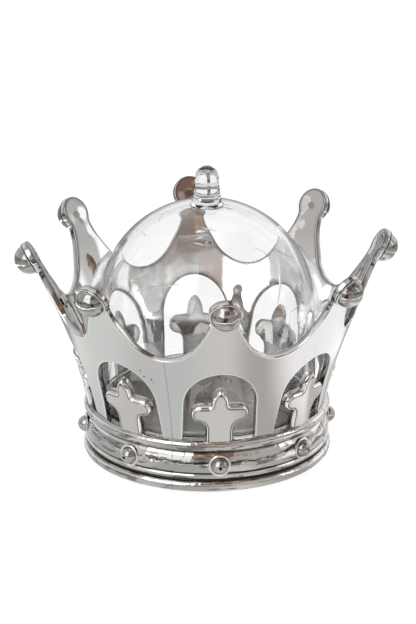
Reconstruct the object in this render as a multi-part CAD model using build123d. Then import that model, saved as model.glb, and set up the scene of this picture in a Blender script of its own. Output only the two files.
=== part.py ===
from build123d import *
import os
from math import asin, cos, degrees, radians, sin, sqrt

# A table crown: a plated shell with eight points, arches and trefoils on a ringed band,
# half balls on its points, half beads round its band, and a clear bell-jar lid inside.
# The origin is the centre of the underside, +Z is up, and one point faces -Y.
# Radii are measured from the Z axis. Everything is in millimetres.

# Repeats round the crown
POINTS = 8
PITCH = 360 / POINTS

# Flared wall: both faces are arcs about one centre, given as radius and height
FLARE_RADIUS = 124.3
FLARE_CENTRE = (149.3, -12.7)
WALL_THICKNESS = 1.6
WALL_TOP_Z = 54.0

# Points, valleys and the round heads that carry the balls
VALLEY_Z = 34.0
VALLEY_RADIUS = 8.3
VALLEY_ARC = 62
NECK_HALF_WIDTH = 3.1
NECK_Z = 45.4
HEAD_Z = 48.0
HEAD_RADIUS = 3.9
HEAD_THICKNESS = 1.8

# Arches and the trefoil that stands in each
ARCH_HALF_WIDTH = 8.4
ARCH_SPRING_Z = 22.2
TREFOIL_THICKNESS = 1.8
STEM_HALF_WIDTH = 3.3
STEM_TOP_Z = 15.2
LOBE_UNDERSIDE = (5.0, 17.5)
LOBE_END = (6.85, 19.4)
LOBE_UPPER = (4.8, 21.7)
LOBE_CORNER = (2.1, 21.8)
TOP_LOBE_SIDE = (1.9, 23.7)
TOP_LOBE_TIP = (0.35, 26.0)

# Base band: the outer arcs of its rings, lowest first, each as foot, middle and top
RINGS = (
    ((27.5, 0.0), (28.8, 1.4), (27.7, 2.8)),
    ((27.7, 3.0), (28.4, 3.85), (27.9, 4.7)),
    ((28.35, 4.9), (28.15, 7.6), (27.15, 9.7)),
    ((27.4, 9.8), (28.6, 10.95), (27.9, 12.4)),
)
SILL_RADIUS = 27.6
BAND_TOP_Z = 12.6
BAND_BORE = 25.8
LEDGE_BORE = 23.9
LEDGE_THICKNESS = 1.5
LEDGE_CONE = 2.0

# Floor plate, pushed up into a recess in the band
FLOOR_RECESS_RADIUS = 26.6
FLOOR_RECESS_DEPTH = 2.2
FLOOR_THICKNESS = 1.6
FLOOR_FIT_GAP = 0.03

# Balls and beads, each half a ball with a peg
BALL_RADIUS = 3.5
BALL_PEG_RADIUS = 1.2
BALL_PEG_RECESS = 0.35
BEAD_RADIUS = 2.4
BEAD_CENTRE = 27.7
BEAD_SEAT = 27.2
BEAD_Z = 6.6
BEAD_PEG_RADIUS = 1.0
BEAD_PEG_END = 26.1
PEG_FIT_GAP = 0.02

# Bell-jar lid
DOME_RADIUS = 24.95
DOME_CENTRE_Z = 35.1
DOME_FOOT_RADIUS = 25.2
DOME_THICKNESS = 1.3
FLANGE_RADIUS = 25.5
FLANGE_THICKNESS = 1.0
LID_GAP = 0.1
BOSS_RADIUS = 3.9
BOSS_TOP_Z = 60.5
SPIGOT_RADIUS = 1.6

# Knob
KNOB_TOP_Z = 69.0
KNOB_FOOT_RADIUS = 3.5
KNOB_FOOT_HEIGHT = 0.6
KNOB_WAIST_RADIUS = 3.15
KNOB_NOSE_RADIUS = 2.7
EYE_RADIUS = 0.75
EYE_Z = 64.3


def wall_radius(z, depth=0.0):
    """Radius of the wall at a height, at a depth below its outer face."""
    rise = z - FLARE_CENTRE[1]
    return FLARE_CENTRE[0] - sqrt((FLARE_RADIUS + depth) ** 2 - rise**2)


def wall_lean(z):
    """Angle between the wall and the vertical at a height, in degrees."""
    return degrees(asin((z - FLARE_CENTRE[1]) / FLARE_RADIUS))


def front_prism(face):
    """Solid that a face drawn in X and Z sweeps from the axis out towards -Y."""
    return extrude(Plane.XZ * face, amount=2 * WALL_TOP_Z)


def turned(face, arc=360):
    """Solid of revolution of a face drawn as radius and height."""
    return revolve(Plane.XZ * face, Axis.Z, arc)


def outward_plane(radius, z, lean=0.0):
    """Plane at the front of the crown whose normal faces outward and lean degrees down."""
    down = radians(lean)
    return Plane(origin=(0, -radius, z), x_dir=(1, 0, 0), z_dir=(0, -cos(down), -sin(down)))


def round_crown(shape, place):
    """A copy of a front shape at one of the eight places round the crown."""
    return Rot(0, 0, PITCH * place) * shape


# ---- shell ----


def wall_face(outer_depth, inner_depth, low_z, high_z):
    """Section of the flared wall between two depths and two heights."""
    middle_z = (low_z + high_z) / 2
    corners = [
        [(wall_radius(z, depth), z) for z in (low_z, middle_z, high_z)]
        for depth in (outer_depth, inner_depth)
    ]
    outer, inner = corners
    outline = Curve() + [
        ThreePointArc(*outer),
        Line(outer[2], inner[2]),
        ThreePointArc(*reversed(inner)),
        Line(inner[0], outer[0]),
    ]
    return make_face(outline)


def one_pitch_of_wall(outer_depth, inner_depth):
    """The wall over one pitch, centred on the front point."""
    face = wall_face(outer_depth, inner_depth, BAND_TOP_Z - 1, WALL_TOP_Z)
    return Rot(0, 0, -90 - PITCH / 2) * turned(face, PITCH)


def point_face():
    """Outline of one pitch of wall: valley to valley, with the point between them."""
    valley_x = wall_radius(VALLEY_Z) * sin(radians(PITCH / 2))
    start = (valley_x, VALLEY_Z)
    centre = (valley_x, VALLEY_Z + VALLEY_RADIUS)
    side = CenterArc(centre, VALLEY_RADIUS, 270, -VALLEY_ARC)
    neck = Line(side @ 1, (NECK_HALF_WIDTH, NECK_Z))
    right = Curve() + [
        Line((0, 0), (3 * valley_x, 0)),
        Line((3 * valley_x, 0), (3 * valley_x, VALLEY_Z)),
        Line((3 * valley_x, VALLEY_Z), start),
        side,
        neck,
        Line(neck @ 1, (NECK_HALF_WIDTH, HEAD_Z)),
        Line((NECK_HALF_WIDTH, HEAD_Z), (0, HEAD_Z)),
        Line((0, HEAD_Z), (0, 0)),
    ]
    half = make_face(right)
    return half + mirror(half, Plane.YZ)


def arch_face():
    """Outline of one arch opening, from the top of the band to its round top."""
    height = ARCH_SPRING_Z - BAND_TOP_Z
    middle = (ARCH_SPRING_Z + BAND_TOP_Z) / 2
    jambs = Pos(0, middle) * Rectangle(2 * ARCH_HALF_WIDTH, height)
    return jambs + Pos(0, ARCH_SPRING_Z) * Circle(ARCH_HALF_WIDTH)


def trefoil_face():
    """Outline of one trefoil: a stem that flares into side lobes, and a pointed top lobe."""
    stem_foot = (STEM_HALF_WIDTH, BAND_TOP_Z - 1)
    stem_top = (STEM_HALF_WIDTH, STEM_TOP_Z)
    stem = Line(stem_foot, stem_top)
    flare = TangentArc(stem_top, LOBE_UNDERSIDE, tangent=(0, 1))
    lobe = ThreePointArc(LOBE_UNDERSIDE, LOBE_END, LOBE_UPPER)
    tip = ThreePointArc(LOBE_CORNER, TOP_LOBE_SIDE, TOP_LOBE_TIP)
    right = Curve() + [
        Line((0, BAND_TOP_Z - 1), stem_foot),
        stem,
        flare,
        lobe,
        Line(LOBE_UPPER, LOBE_CORNER),
        tip,
        Line(TOP_LOBE_TIP, (0, TOP_LOBE_TIP[1])),
        Line((0, TOP_LOBE_TIP[1]), (0, BAND_TOP_Z - 1)),
    ]
    half = make_face(right)
    return half + mirror(half, Plane.YZ)


def head_disc():
    """Round head of the front point, square to the wall there."""
    plane = outward_plane(wall_radius(HEAD_Z), HEAD_Z, wall_lean(HEAD_Z))
    return extrude(plane * Circle(HEAD_RADIUS), amount=-HEAD_THICKNESS)


def band_face():
    """Section of the base band: rounded rings, bore, lid ledge and floor recess."""
    low = (FLOOR_RECESS_RADIUS, 0)
    edges = []
    last = low
    for foot, middle, top in RINGS:
        edges += [Line(last, foot), ThreePointArc(foot, middle, top)]
        last = top
    ledge_foot = BAND_TOP_Z - LEDGE_THICKNESS
    inside = [
        last,
        (SILL_RADIUS, BAND_TOP_Z),
        (LEDGE_BORE, BAND_TOP_Z),
        (LEDGE_BORE, ledge_foot),
        (BAND_BORE, ledge_foot - LEDGE_CONE),
        (BAND_BORE, FLOOR_RECESS_DEPTH),
        (FLOOR_RECESS_RADIUS, FLOOR_RECESS_DEPTH),
        low,
    ]
    edges += [Line(a, b) for a, b in zip(inside, inside[1:])]
    return make_face(Curve() + edges)


def ball_seat():
    """Flat cut into the wall's outer face where the front ball sits."""
    plane = outward_plane(wall_radius(HEAD_Z), HEAD_Z, wall_lean(HEAD_Z))
    return extrude(plane * Circle(HEAD_RADIUS), amount=HEAD_THICKNESS)


def ball_hole():
    """Hole through the front head for the ball's peg."""
    plane = outward_plane(wall_radius(HEAD_Z), HEAD_Z, wall_lean(HEAD_Z))
    return extrude(plane * Circle(BALL_PEG_RADIUS), amount=2 * HEAD_THICKNESS, both=True)


def bead_hole():
    """Round seat in the middle ring for the front bead, and its peg's hole."""
    seat = extrude(outward_plane(BEAD_SEAT, BEAD_Z) * Circle(BEAD_RADIUS + PEG_FIT_GAP), amount=5)
    peg = extrude(outward_plane(BAND_BORE - 1, BEAD_Z) * Circle(BEAD_PEG_RADIUS), amount=5)
    return seat + peg


def crown_shell():
    """The whole plated moulding, as one solid."""
    unit = one_pitch_of_wall(0, WALL_THICKNESS) & front_prism(point_face())
    unit -= front_prism(arch_face())
    unit += one_pitch_of_wall(0, TREFOIL_THICKNESS) & front_prism(trefoil_face())
    unit -= ball_seat()
    unit += head_disc()
    unit -= ball_hole()
    shell = turned(band_face())
    for place in range(POINTS):
        shell += round_crown(unit, place)
    for place in range(POINTS):
        shell -= round_crown(bead_hole(), place)
    return shell


def floor_plate():
    """Disc that closes the shell from below."""
    radius = FLOOR_RECESS_RADIUS - FLOOR_FIT_GAP
    middle_z = FLOOR_RECESS_DEPTH - FLOOR_THICKNESS / 2
    plate = Pos(0, 0, middle_z) * Cylinder(radius, FLOOR_THICKNESS)
    return chamfer(plate.edges().group_by(Axis.Z)[0], 0.3)


# ---- balls and beads ----


def tip_ball():
    """Half ball on the front head, with a peg that stops just short of the back face."""
    plane = outward_plane(wall_radius(HEAD_Z), HEAD_Z, wall_lean(HEAD_Z))
    ball = plane * Sphere(BALL_RADIUS)
    half = split(ball, bisect_by=plane, keep=Keep.TOP)
    peg_face = plane * Circle(BALL_PEG_RADIUS - PEG_FIT_GAP)
    return half + extrude(peg_face, amount=-(HEAD_THICKNESS - BALL_PEG_RECESS))


def band_bead():
    """Half bead under the front arch, flat on its seat, with a peg into the band."""
    seat = outward_plane(BEAD_SEAT, BEAD_Z)
    ball = Pos(0, -BEAD_CENTRE, BEAD_Z) * Sphere(BEAD_RADIUS)
    half = split(ball, bisect_by=seat, keep=Keep.TOP)
    peg_face = seat * Circle(BEAD_PEG_RADIUS - PEG_FIT_GAP)
    return half + extrude(peg_face, amount=-(BEAD_SEAT - BEAD_PEG_END))


# ---- lid ----


def dome_face():
    """Section of the bell jar: round top, nearly upright side and foot flange."""
    foot_z = BAND_TOP_Z + LID_GAP
    flange_top = foot_z + FLANGE_THICKNESS
    inner_radius = DOME_RADIUS - DOME_THICKNESS
    foot_bore = DOME_FOOT_RADIUS - DOME_THICKNESS
    crown_z = DOME_CENTRE_Z + DOME_RADIUS
    shoulder = radians(45)
    outer_mid = (DOME_RADIUS * cos(shoulder), DOME_CENTRE_Z + DOME_RADIUS * sin(shoulder))
    inner_mid = (inner_radius * cos(shoulder), DOME_CENTRE_Z + inner_radius * sin(shoulder))
    outline = Curve() + [
        Line((foot_bore, foot_z), (FLANGE_RADIUS, foot_z)),
        Line((FLANGE_RADIUS, foot_z), (FLANGE_RADIUS, flange_top)),
        Line((FLANGE_RADIUS, flange_top), (DOME_FOOT_RADIUS, flange_top)),
        Line((DOME_FOOT_RADIUS, flange_top), (DOME_RADIUS, DOME_CENTRE_Z)),
        ThreePointArc((DOME_RADIUS, DOME_CENTRE_Z), outer_mid, (0, crown_z)),
        Line((0, crown_z), (0, crown_z - DOME_THICKNESS)),
        ThreePointArc((0, crown_z - DOME_THICKNESS), inner_mid, (inner_radius, DOME_CENTRE_Z)),
        Line((inner_radius, DOME_CENTRE_Z), (foot_bore, foot_z)),
    ]
    return make_face(outline)


def dome_lid():
    """Clear bell jar with a low boss on top, bored for the knob's spigot."""
    boss_foot = DOME_CENTRE_Z + DOME_RADIUS - DOME_THICKNESS / 2
    boss_height = BOSS_TOP_Z - boss_foot
    boss = Pos(0, 0, boss_foot + boss_height / 2) * Cylinder(BOSS_RADIUS, boss_height)
    bore = Pos(0, 0, boss_foot) * Cylinder(SPIGOT_RADIUS, 4 * DOME_THICKNESS)
    return turned(dome_face()) + boss - bore


def knob_face():
    """Section of the knob: spigot, flared foot, waist and round nose."""
    foot_top = BOSS_TOP_Z + KNOB_FOOT_HEIGHT
    nose_z = KNOB_TOP_Z - KNOB_NOSE_RADIUS
    quarter = radians(45)
    nose_mid = (KNOB_NOSE_RADIUS * sin(quarter), nose_z + KNOB_NOSE_RADIUS * cos(quarter))
    spigot = SPIGOT_RADIUS - PEG_FIT_GAP
    spigot_z = DOME_CENTRE_Z + DOME_RADIUS - DOME_THICKNESS
    corners = [
        (0, spigot_z),
        (spigot, spigot_z),
        (spigot, BOSS_TOP_Z),
        (KNOB_FOOT_RADIUS, BOSS_TOP_Z),
        (KNOB_WAIST_RADIUS, foot_top),
        (KNOB_NOSE_RADIUS, nose_z),
    ]
    edges = [Line(a, b) for a, b in zip(corners, corners[1:])]
    edges.append(ThreePointArc(corners[-1], nose_mid, (0, KNOB_TOP_Z)))
    edges.append(Line((0, KNOB_TOP_Z), corners[0]))
    return make_face(Curve() + edges)


def dome_knob():
    """Bullet-shaped knob with a cross hole for a ribbon."""
    eye = Pos(0, 0, EYE_Z) * Rot(0, 90, 0) * Cylinder(EYE_RADIUS, 4 * KNOB_FOOT_RADIUS)
    return turned(knob_face()) - eye


# ---- write every piece ----

pieces = {
    "crown_shell": crown_shell(),
    "floor_plate": floor_plate(),
    "dome_lid": dome_lid(),
    "dome_knob": dome_knob(),
}
for place in range(POINTS):
    pieces[f"tip_ball_{place + 1}"] = round_crown(tip_ball(), place)
    pieces[f"band_bead_{place + 1}"] = round_crown(band_bead(), place)

os.makedirs("parts", exist_ok=True)
for name, piece in pieces.items():
    export_step(piece, f"parts/{name}.step")
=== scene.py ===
import math

import bpy
import numpy as np
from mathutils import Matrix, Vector
from mathutils.geometry import delaunay_2d_cdt, interpolate_bezier


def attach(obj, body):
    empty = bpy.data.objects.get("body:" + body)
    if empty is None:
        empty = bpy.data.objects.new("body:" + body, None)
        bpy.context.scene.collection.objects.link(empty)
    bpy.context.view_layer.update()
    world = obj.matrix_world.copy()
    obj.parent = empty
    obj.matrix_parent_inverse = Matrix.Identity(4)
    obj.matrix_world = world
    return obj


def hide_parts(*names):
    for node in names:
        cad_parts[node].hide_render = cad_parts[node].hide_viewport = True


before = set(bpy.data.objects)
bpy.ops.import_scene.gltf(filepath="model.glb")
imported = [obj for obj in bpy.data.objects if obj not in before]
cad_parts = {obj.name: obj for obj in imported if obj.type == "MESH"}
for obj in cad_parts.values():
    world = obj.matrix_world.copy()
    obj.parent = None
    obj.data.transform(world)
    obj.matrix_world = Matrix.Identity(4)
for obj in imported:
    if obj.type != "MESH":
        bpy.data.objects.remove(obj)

# A table crown in plated plastic with a clear bell-jar lid. Pieces are built in millimetres in the
# CAD frame (origin under the centre, +Z up, one point facing -Y) and scaled to metres at the end.

MM = 0.001
POINTS = 8
PITCH = 2 * math.pi / POINTS

# Flared wall, the same arc as the CAD wall
FLARE_RADIUS = 124.3
FLARE_CENTRE = (149.3, -12.7)
BAND_TOP = 12.6
FOOT_SINK = 0.3

# Outlines
VALLEY_Z = 34.0
VALLEY_RADIUS = 8.3
VALLEY_ARC = 62
NECK_HALF_WIDTH = 3.1
HEAD_Z = 48.0
HEAD_RADIUS = 3.9
ARCH_HALF_WIDTH = 8.4
ARCH_SPRING_Z = 22.2
STEM_HALF_WIDTH = 3.3
STEM_TOP = 15.2
EDGE_ROUND = 0.42
TREFOIL_ROUND = 0.22
EDGE_STEPS = 7
# Slope from valley to head: the pull of its ends as a part of its length, and its turn in at the head
SLOPE_PULL = 0.4
HEAD_TURN_IN = 0.25
OUTLINE_SOFTENING = 4
# The sides of a pitch: how far under the valley they stop, and the step between their points
SIDE_CLEAR = 1.24
SIDE_STEP = 0.9
# Corners of a cut edge from front to back, as inset, depth and the painted light there (a painted
# highlight above nought, painted shade below). The trefoils stand proud and have a fine groove
# inside their edge.
WALL_EDGE = ((0.6, 0, 0), (0, 0, 0.4), (0, 1.6, -0.5), (0.84, 1.6, 0.4))
TREFOIL_EDGE = (
    (1.35, -0.35, 0),
    (0.92, -0.35, -0.2),
    (0.76, -0.12, -0.9),
    (0.56, -0.30, 0.8),
    (0.12, 0.25, 0.3),
    (0, 0.7, -0.4),
    (0, 1.7, 0),
    (0.6, 1.7, 0.4),
)
# Painted light on the inner face, by height: brighter low down
INNER_HEIGHTS = (28.0, 42.0)
INNER_PAINTED_LIGHT = (0.85, 0.3)
# Sink marks behind each ball: across and up from the head's middle, then radius and depth
SINK_MARKS = ((0.3, -0.8, 2.0, 0.24), (-0.6, -5.2, 1.6, 0.12))
OUTLINE_STEP = 0.32
FACE_STEP = 1.0
EDGE_GAP = 0.55 * FACE_STEP
CURVE_POINTS = 24
CORNER_POINTS = 5
# The most of a side that a rounded corner takes
CORNER_REACH = 0.45
# Points closer than this are one point, in millimetres
WELD = 1e-4

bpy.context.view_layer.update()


# ---- outlines, as rows of (distance across, height) ----


def arc(centre, radius, start, end):
    """Points along an arc between two angles in degrees."""
    count = max(8, int(abs(math.radians(end - start)) * radius / OUTLINE_STEP))
    angles = np.radians(np.linspace(start, end, count))
    x, y = centre
    return np.column_stack([x + radius * np.cos(angles), y + radius * np.sin(angles)])


def arc_through(a, b, c):
    """Points along the arc from a through b to c."""
    (ax, ay), (bx, by), (cx, cy) = a, b, c
    twice = 2 * (ax * (by - cy) + bx * (cy - ay) + cx * (ay - by))
    aa, bb, cc = ax * ax + ay * ay, bx * bx + by * by, cx * cx + cy * cy
    x = (aa * (by - cy) + bb * (cy - ay) + cc * (ay - by)) / twice
    y = (aa * (cx - bx) + bb * (ax - cx) + cc * (bx - ax)) / twice
    start, middle, end = (math.degrees(math.atan2(q - y, p - x)) for p, q in (a, b, c))
    turn = (end - start) % 360
    if (middle - start) % 360 > turn:
        turn -= 360
    return arc((x, y), math.hypot(ax - x, ay - y), start, start + turn)


def curve(start, start_pull, end_pull, end):
    """Points along a Bezier curve."""
    handles = (Vector((*p, 0)) for p in (start, start_pull, end_pull, end))
    return np.array([p[:2] for p in interpolate_bezier(*handles, CURVE_POINTS)])


def resample(points, step):
    """The same line with evenly spaced points."""
    gaps = np.linalg.norm(np.diff(points, axis=0), axis=1)
    along = np.concatenate([[0], np.cumsum(gaps)])
    wanted = np.linspace(0, along[-1], max(3, int(along[-1] / step) + 1))
    return np.column_stack([np.interp(wanted, along, points[:, axis]) for axis in (0, 1)])


def soften(points, rounds):
    """The same line with its corners rounded, its ends kept."""
    points = points.copy()
    for _ in range(rounds):
        points[1:-1] = points[1:-1] / 2 + (points[:-2] + points[2:]) / 4
    return points


def both_sides(right):
    """A line on the right of the middle, which ends on it, as a whole line from left to right."""
    left = right * (-1, 1)
    return np.vstack([left[:-1], right[::-1]])


def line_normals(points, closed=False):
    """Unit normals on the left of a line, longer steps counting for more."""
    if closed:
        steps = np.roll(points, -1, axis=0) - points
        before = np.roll(steps, 1, axis=0)
    else:
        steps = np.diff(points, axis=0)
        before = np.vstack([steps[:1], steps])
        steps = np.vstack([steps, steps[-1:]])
    along = steps + before
    normals = np.column_stack([-along[:, 1], along[:, 0]])
    return normals / np.linalg.norm(normals, axis=1, keepdims=True)


# ---- the wall's own coordinates: across, up the wall, and depth under the outer face ----


def climb(z):
    """Length up the wall's outer face to a height."""
    return FLARE_RADIUS * np.arcsin((np.asarray(z) - FLARE_CENTRE[1]) / FLARE_RADIUS)


def radius_at(up):
    """Radius of the wall's outer face at a length up it."""
    return FLARE_CENTRE[0] - FLARE_RADIUS * np.cos(up / FLARE_RADIUS)


def laid_up(points):
    """An outline drawn across and in height, as one drawn across and up the wall."""
    return np.column_stack([points[:, 0], climb(points[:, 1])])


def on_wall(flat):
    """Places in the crown's frame of rows of (across, up, depth) on the front pitch."""
    across, up, depth = flat.T
    lean = up / FLARE_RADIUS
    turn = across / radius_at(up)
    out = radius_at(up) - depth * np.cos(lean)
    z = FLARE_CENTRE[1] + FLARE_RADIUS * np.sin(lean) + depth * np.sin(lean)
    return np.column_stack([out * np.sin(turn), -out * np.cos(turn), z])


def mapped(flat, normals, place):
    """Places and normals in the crown's frame, from the wall's own coordinates."""
    small = 1e-3
    sides = []
    for axis in range(3):
        shift = np.zeros(3)
        shift[axis] = small
        sides.append((place(flat + shift) - place(flat - shift)) / (2 * small))
    a, b, c = sides
    crosses = (np.cross(b, c), np.cross(c, a), np.cross(a, b))
    bent = sum(normals[:, i : i + 1] * cross for i, cross in enumerate(crosses))
    bent = bent * np.sign(np.sum(crosses[2] * c, axis=1, keepdims=True))
    return place(flat), bent / np.linalg.norm(bent, axis=1, keepdims=True)


# ---- mesh assembly ----


class Shape:
    """Points, their normals, the painted light or shade on them, and faces."""

    def __init__(self):
        self.points, self.normals, self.builds, self.faces, self.count = [], [], [], [], 0

    def add(self, points, normals, faces, painted_level=0.0):
        self.points.append(points)
        self.normals.append(normals)
        self.builds.append(np.broadcast_to(painted_level, len(points)))
        self.faces += [tuple(i + self.count for i in face) for face in faces]
        self.count += len(points)

    def strip(self, rows, normals, closed=False, flip=False, builds=0.0):
        """A band of quads through rows of points of equal length."""
        width = len(rows[0])
        faces = []
        for row in range(len(rows) - 1):
            for i in range(width if closed else width - 1):
                j = (i + 1) % width
                here, after = row * width, (row + 1) * width
                face = (here + i, here + j, after + j, after + i)
                faces.append(face[::-1] if flip else face)
        painted_level = np.broadcast_to(builds, (len(rows), width)).ravel()
        self.add(np.vstack(rows), np.vstack(normals), faces, painted_level)

    def piece(self, name, material):
        """The finished object, in metres, with shared points welded."""
        points, normals = np.vstack(self.points), np.vstack(self.normals)
        keys = np.round(points / WELD).astype(np.int64)
        _, first, where = np.unique(keys, axis=0, return_index=True, return_inverse=True)
        where = where.reshape(-1)
        faces = [tuple(where[list(face)].tolist()) for face in self.faces]
        faces = [face for face in faces if len(set(face)) == len(face)]
        mesh = bpy.data.meshes.new(name)
        mesh.from_pydata((points[first] * MM).tolist(), [], faces)
        mesh.validate()
        painted_light = mesh.attributes.new("painted_light", "FLOAT", "POINT")
        painted_light.data.foreach_set("value", np.concatenate(self.builds)[first])
        mesh.shade_smooth()
        mesh.normals_split_custom_set_from_vertices([tuple(n) for n in normals[first]])
        mesh.materials.append(material)
        thing = bpy.data.objects.new(name, mesh)
        bpy.context.scene.collection.objects.link(thing)
        return thing


def inside(points, loop):
    """Which points lie inside a closed outline."""
    x, y = points.T
    found = np.zeros(len(points), bool)
    for (x1, y1), (x2, y2) in zip(loop, np.roll(loop, -1, axis=0)):
        crosses = (y1 > y) != (y2 > y)
        if y1 != y2:
            found ^= crosses & (x < (x2 - x1) * (y - y1) / (y2 - y1) + x1)
    return found


def filled(loop):
    """A triangle mesh of even size inside a closed outline: its points and faces."""
    low, high = loop.min(axis=0), loop.max(axis=0)
    xs, ys = (np.arange(low[axis], high[axis], FACE_STEP) for axis in (0, 1))
    grid = np.array([(x, y) for x in xs for y in ys])
    grid = grid[inside(grid, loop)]
    gaps = np.linalg.norm(grid[:, None, :] - loop[None, :, :], axis=2).min(axis=1)
    points = np.vstack([loop, grid[gaps > EDGE_GAP]])
    edges = [(i, (i + 1) % len(loop)) for i in range(len(loop))]
    result = delaunay_2d_cdt([Vector(p) for p in points], edges, [], 0, 1e-6)
    spots, _, faces, origins = result[:4]
    places = np.array([points[ids[0]] if ids else spot[:] for spot, ids in zip(spots, origins)])
    middles = np.array([places[list(face)].mean(axis=0) for face in faces])
    return places, [face for face, keep in zip(faces, inside(middles, loop)) if keep]


def edge_profile(corners, radius):
    """Rows of (inset, depth, painted light, and the normal's parts) round a cut edge."""
    line = [np.array(corners[0], float)]
    for before, here, after in zip(corners, corners[1:], corners[2:]):
        before, here, after = (np.array(p, float) for p in (before, here, after))
        back, ahead = before - here, after - here
        start, end = (
            here + step / length * min(radius, length / 2)
            for step, length in ((step, np.linalg.norm(step[:2])) for step in (back, ahead))
        )
        for t in np.linspace(0, 1, EDGE_STEPS):
            spot = (1 - t) ** 2 * start + 2 * t * (1 - t) * here + t**2 * end
            line.append((*spot[:2], here[2]))
    line.append(np.array(corners[-1], float))
    line = np.array(line)
    gaps = np.linalg.norm(np.diff(line[:, :2], axis=0), axis=1)
    line = line[np.concatenate([[True], gaps > WELD])]
    normals = line_normals(line[:, :2])
    normals[0], normals[-1] = (0, -1), (0, 1)
    return np.hstack([line, normals])


def boundary(up):
    """Distance across from the middle of a pitch to its edge."""
    return radius_at(up) * PITCH / 2


def wall_region(shape, chains, loop_of, corners, radius, sinks=()):
    """One pitch of moulded wall, its cut edges rounded. Each chain has the wall on its left.

    Each sink mark in the inner face is its place across and up the wall, its radius and its depth.
    """
    ends = []
    for chain, at_edges in chains:
        inward = line_normals(chain)
        rows, normals, builds = [], [], []
        for inset, depth, painted_level, inset_part, depth_part in edge_profile(corners, radius):
            row = chain + inset * inward
            if at_edges:
                row[0, 0] = -np.sign(row[-1, 0]) * boundary(row[0, 1])
                row[-1, 0] = np.sign(row[-1, 0]) * boundary(row[-1, 1])
            flat = np.column_stack([row, np.full(len(row), depth)])
            flat_normals = np.column_stack([inward * inset_part, np.full(len(row), depth_part)])
            rows.append(flat)
            normals.append(flat_normals)
            builds.append(painted_level)
        ends.append((rows[0][:, :2], rows[-1][:, :2]))
        shape.strip(rows, normals, flip=True, builds=np.array(builds)[:, None])
    for side, sign in ((0, -1.0), (1, 1.0)):
        points, faces = filled(loop_of([pair[side] for pair in ends]))
        flat = np.column_stack([points, np.full(len(points), corners[-side][1])])
        normals = np.tile((0.0, 0.0, sign), (len(points), 1))
        for across, up, reach, amount in sinks if side else ():
            away = points - (across, up)
            hollow = amount * np.exp(-np.sum(away**2, axis=1) / reach**2)
            flat[:, 2] -= hollow
            normals[:, :2] -= away * (2 * hollow / reach**2)[:, None]
        normals /= np.linalg.norm(normals, axis=1, keepdims=True)
        # Painted light on the faces: the outer takes the first corner's, the inner is brighter low
        # down
        painted_level = corners[0][2]
        if side:
            painted_level = np.interp(points[:, 1], climb(INNER_HEIGHTS), INNER_PAINTED_LIGHT)
            faces = [face[::-1] for face in faces]
        shape.add(flat, normals, faces, painted_level)


def spread_round(flat_shape):
    """The front pitch mapped on to the wall and repeated round the crown."""
    whole = Shape()
    points, normals = mapped(np.vstack(flat_shape.points), np.vstack(flat_shape.normals), on_wall)
    builds = np.concatenate(flat_shape.builds)
    for k in range(POINTS):
        cosine, sine = math.cos(PITCH * k), math.sin(PITCH * k)
        spin = np.array([[cosine, sine, 0], [-sine, cosine, 0], [0, 0, 1]])
        whole.add(points @ spin, normals @ spin, flat_shape.faces, builds)
    return whole


# ---- crown wall ----


def top_outline():
    """The edge of one pitch from valley to valley over the point, drawn up the wall."""
    valley = (boundary(climb(VALLEY_Z)), VALLEY_Z + VALLEY_RADIUS)
    round_valley = laid_up(arc(valley, VALLEY_RADIUS, 270, 270 - VALLEY_ARC))
    head_up = float(climb(HEAD_Z))
    below = math.degrees(math.acos(NECK_HALF_WIDTH / HEAD_RADIUS))
    head = arc((0, head_up), HEAD_RADIUS, -below, 90)
    start, step = round_valley[-1], round_valley[-1] - round_valley[-2]
    reach = np.linalg.norm(head[0] - start) * SLOPE_PULL
    start_pull = start + step / np.linalg.norm(step) * reach
    slope = curve(start, start_pull, head[0] - (-HEAD_TURN_IN, reach), head[0])
    right = np.vstack([round_valley, slope[1:], head[1:]])
    whole = both_sides(right)[::-1]
    return soften(resample(whole, OUTLINE_STEP), OUTLINE_SOFTENING)


def arch_outline():
    """The edge of one arch opening, drawn up the wall."""
    foot = (ARCH_HALF_WIDTH, BAND_TOP - FOOT_SINK)
    crown = arc((0, ARCH_SPRING_Z), ARCH_HALF_WIDTH, 0, 180)
    line = np.vstack([[foot], crown, [(-foot[0], foot[1])]])
    return resample(laid_up(line), OUTLINE_STEP)


def crown_wall(material):
    """The flared wall with its points and arches."""
    flat = Shape()
    foot = float(climb(BAND_TOP - FOOT_SINK))
    top = float(climb(VALLEY_Z)) - SIDE_CLEAR

    def side(sign):
        up = np.arange(foot, top, SIDE_STEP)
        return np.column_stack([sign * boundary(up), up])

    def loop_of(ends):
        over, arch = ends
        return np.vstack([side(1), over, side(-1)[::-1], arch[::-1]])

    chains = [(top_outline(), True), (arch_outline()[::-1], False)]
    head = float(climb(HEAD_Z))
    sinks = [(across, head + up, *size) for across, up, *size in SINK_MARKS]
    wall_region(flat, chains, loop_of, WALL_EDGE, EDGE_ROUND, sinks)
    return spread_round(flat).piece("crown_wall", material)


# The right half of a trefoil above its stem: a flare, a side lobe and half the top lobe
FLARE = ((STEM_HALF_WIDTH, STEM_TOP), (STEM_HALF_WIDTH, 16.6), (3.8, 17.4), (5.0, 17.5))
SIDE_LOBE = (FLARE[-1], (6.85, 19.4), (4.8, 21.7))
TOP_LOBE = ((2.1, 21.8), (1.9, 23.7), (0.35, 26.0))
TREFOIL_TOP = 26.05
TREFOIL_STEP = 0.2
TREFOIL_SOFTENING = 5


def trefoil_outline():
    """The edge of one trefoil, up its left side and down its right, drawn up the wall."""
    foot = (STEM_HALF_WIDTH, BAND_TOP - FOOT_SINK)
    lobes = [arc_through(*SIDE_LOBE)[1:], arc_through(*TOP_LOBE)]
    right = np.vstack([[foot], curve(*FLARE), *lobes, [(0, TREFOIL_TOP)]])
    whole = laid_up(both_sides(right)[::-1])
    return soften(resample(whole, TREFOIL_STEP), TREFOIL_SOFTENING)


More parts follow.
